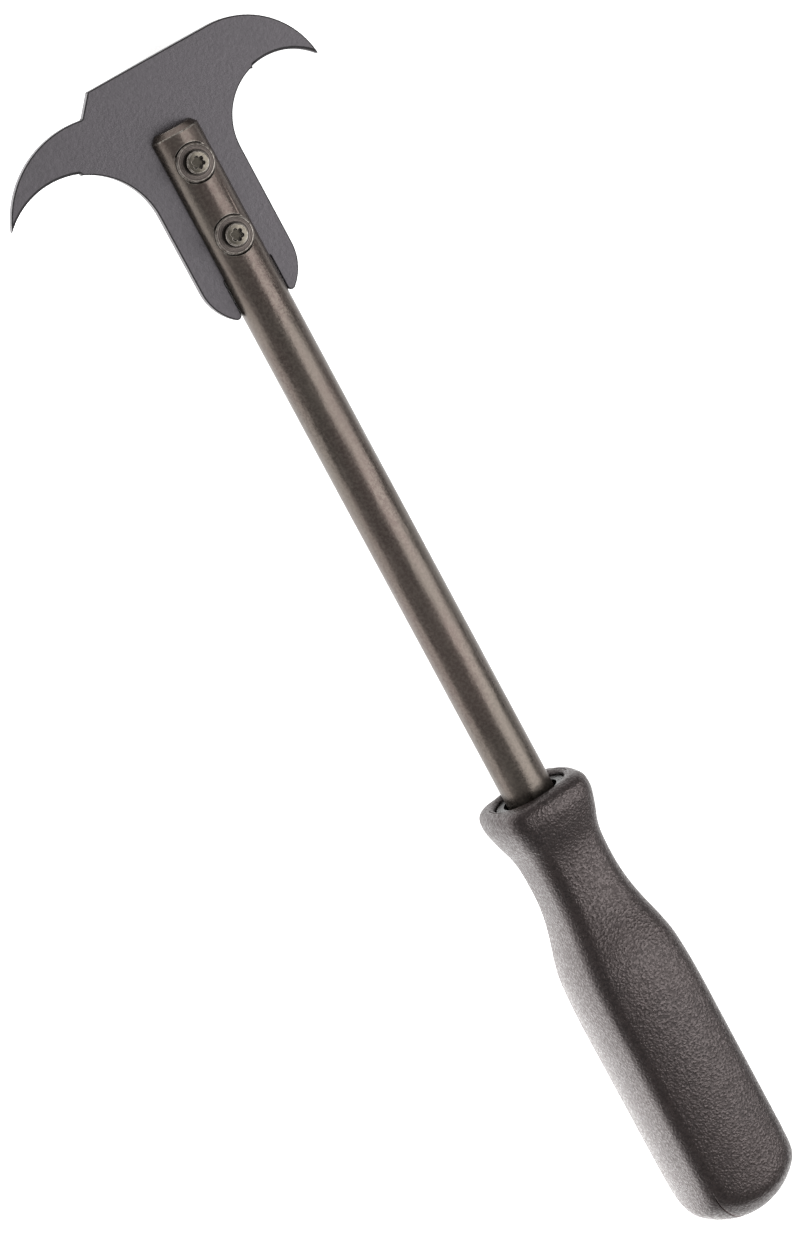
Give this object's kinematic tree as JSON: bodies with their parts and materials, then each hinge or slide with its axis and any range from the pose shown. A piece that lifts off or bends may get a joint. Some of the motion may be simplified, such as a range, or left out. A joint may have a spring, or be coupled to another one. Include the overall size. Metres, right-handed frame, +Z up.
{
  "type": "seal puller",
  "caption": "Seal puller with a flat double-hooked blade clamped in the slit end of a round steel shaft, on a waisted square-section moulded handle.",
  "frame": {"origin": "middle of the handle's flat underside, on the surface the handle rests on, below the shaft's axis", "axes": "+X to the right across the tool, +Y along the shaft towards the hooks, +Z up from the surface it rests on"},
  "size_m": [0.0856, 0.3236, 0.028],
  "materials": {
    "blade_steel": "satin dark grey, oxide finish, with a very fine orange peel",
    "shaft_steel": "gun-metal grey, black-oxide finish over drawn bar",
    "screw_steel": "light zinc-plated heads",
    "washer_steel": "turned, dark oxide, with fine rings on the top face",
    "core_plastic": "hard black plastic, smooth",
    "grip_rubber": "black-brown moulded grip with a fine pebbled grain"
  },
  "bodies": {
    "root": {"hook_blade": "blade_steel", "shaft": "shaft_steel", "front_screw": "screw_steel", "rear_screw": "screw_steel", "front_washer": "washer_steel", "rear_washer": "washer_steel", "handle_core": "core_plastic", "grip": "grip_rubber"}
  },
  "joints": []
}
